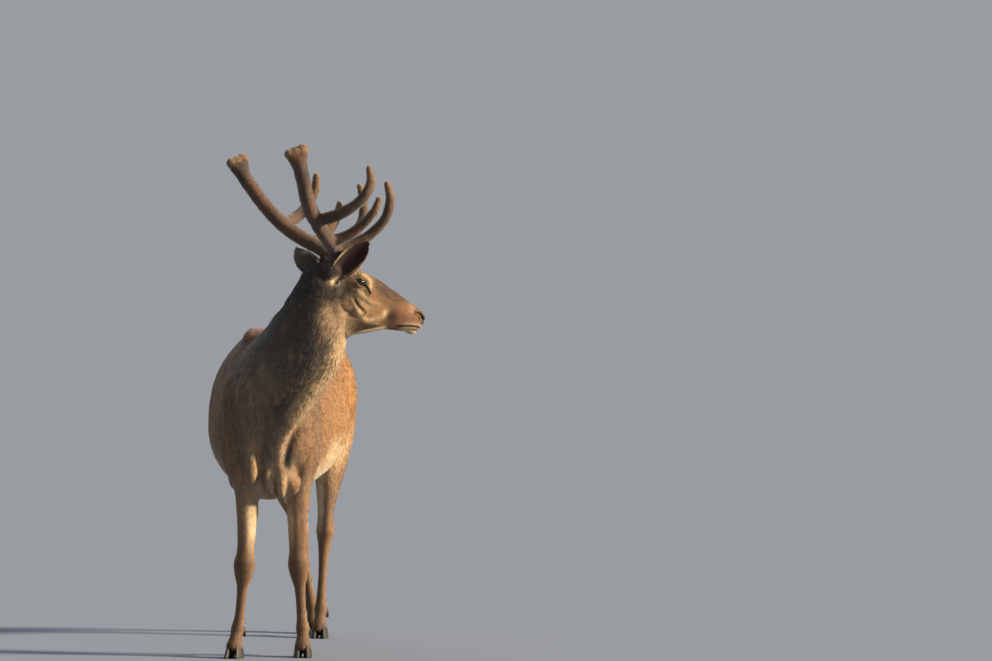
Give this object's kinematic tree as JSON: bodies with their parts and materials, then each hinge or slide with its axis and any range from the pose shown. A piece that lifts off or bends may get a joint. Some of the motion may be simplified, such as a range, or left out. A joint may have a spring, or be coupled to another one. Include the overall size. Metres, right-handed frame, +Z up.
{
  "type": "red deer stag",
  "caption": "Life-size standing red deer stag with velvet antlers, its head turned to its left; a still display model.",
  "frame": {"origin": "middle of the bottom of the bounding box, on the floor the hooves stand on", "axes": "+Z up, the stag's body faces -Y, its left side is +X; the head is turned to the stag's left, towards +X"},
  "size_m": [0.8728, 1.7802, 1.8859],
  "materials": {
    "fur_body": "short red-brown summer coat",
    "fur_neck": "longer grey-brown neck hair",
    "fur_face": "very short tan face hair",
    "fur_leg": "short brown leg hair",
    "velvet": "short dense velvet skin",
    "horn": "dark horn, slightly worn",
    "eye": "wet dark brown eye"
  },
  "bodies": {
    "root": {"antler_left_beam": "velvet", "antler_left_bez": "velvet", "antler_left_brow": "velvet", "antler_left_crown": "velvet", "antler_left_trez": "velvet", "antler_right_beam": "velvet", "antler_right_bez": "velvet", "antler_right_brow": "velvet", "antler_right_crown": "velvet", "antler_right_trez": "velvet", "barrel": "fur_body", "chest": "fur_body", "dewclaw_foreleg_left_left": "horn", "dewclaw_foreleg_left_right": "horn", "dewclaw_foreleg_right_left": "horn", "dewclaw_foreleg_right_right": "horn", "dewclaw_hindleg_left_left": "horn", "dewclaw_hindleg_left_right": "horn", "dewclaw_hindleg_right_left": "horn", "dewclaw_hindleg_right_right": "horn", "ear_left": "fur_face", "ear_right": "fur_face", "eye_left": "eye", "eye_right": "eye", "foreleg_left_cannon": "fur_leg", "foreleg_left_forearm": "fur_leg", "foreleg_left_pastern": "fur_leg", "foreleg_left_shoulder": "fur_body", "foreleg_right_cannon": "fur_leg", "foreleg_right_forearm": "fur_leg", "foreleg_right_pastern": "fur_leg", "foreleg_right_shoulder": "fur_body", "head": "fur_face", "hindleg_left_cannon": "fur_leg", "hindleg_left_gaskin": "fur_leg", "hindleg_left_pastern": "fur_leg", "hindleg_left_thigh": "fur_body", "hindleg_right_cannon": "fur_leg", "hindleg_right_gaskin": "fur_leg", "hindleg_right_pastern": "fur_leg", "hindleg_right_thigh": "fur_body", "hoof_foreleg_left_left": "horn", "hoof_foreleg_left_right": "horn", "hoof_foreleg_right_left": "horn", "hoof_foreleg_right_right": "horn", "hoof_hindleg_left_left": "horn", "hoof_hindleg_left_right": "horn", "hoof_hindleg_right_left": "horn", "hoof_hindleg_right_right": "horn", "nape": "fur_neck", "neck": "fur_neck", "rump": "fur_body", "tail": "fur_body"}
  },
  "joints": []
}
